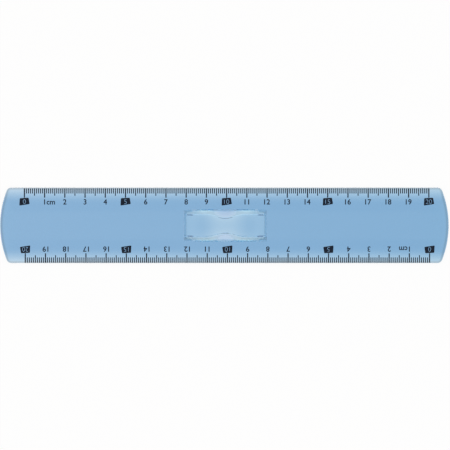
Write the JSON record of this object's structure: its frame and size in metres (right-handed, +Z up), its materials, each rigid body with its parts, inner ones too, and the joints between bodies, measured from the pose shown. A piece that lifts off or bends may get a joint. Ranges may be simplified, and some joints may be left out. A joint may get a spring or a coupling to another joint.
{
  "type": "ruler with finger grip",
  "caption": "Flat clear blue ruler with bowed ends, bevelled edges graduated in opposite directions, and a raised hollow finger grip with scooped sides at its middle.",
  "frame": {"origin": "on the underside of the blade, at the middle of its length and width", "axes": "+X along the ruler, to the end where the upper scale reads 20; +Y across it to the upper scale; +Z up, out of the face that carries the grip"},
  "size_m": [0.222, 0.0374, 0.006],
  "materials": {
    "clear_blade": "clear blue polystyrene, moulded glossy, with dark printed graduations",
    "clear_grip": "clear blue polystyrene, moulded glossy, in a thinner wall"
  },
  "bodies": {
    "root": {"blade": "clear_blade", "finger_grip": "clear_grip"}
  },
  "joints": []
}
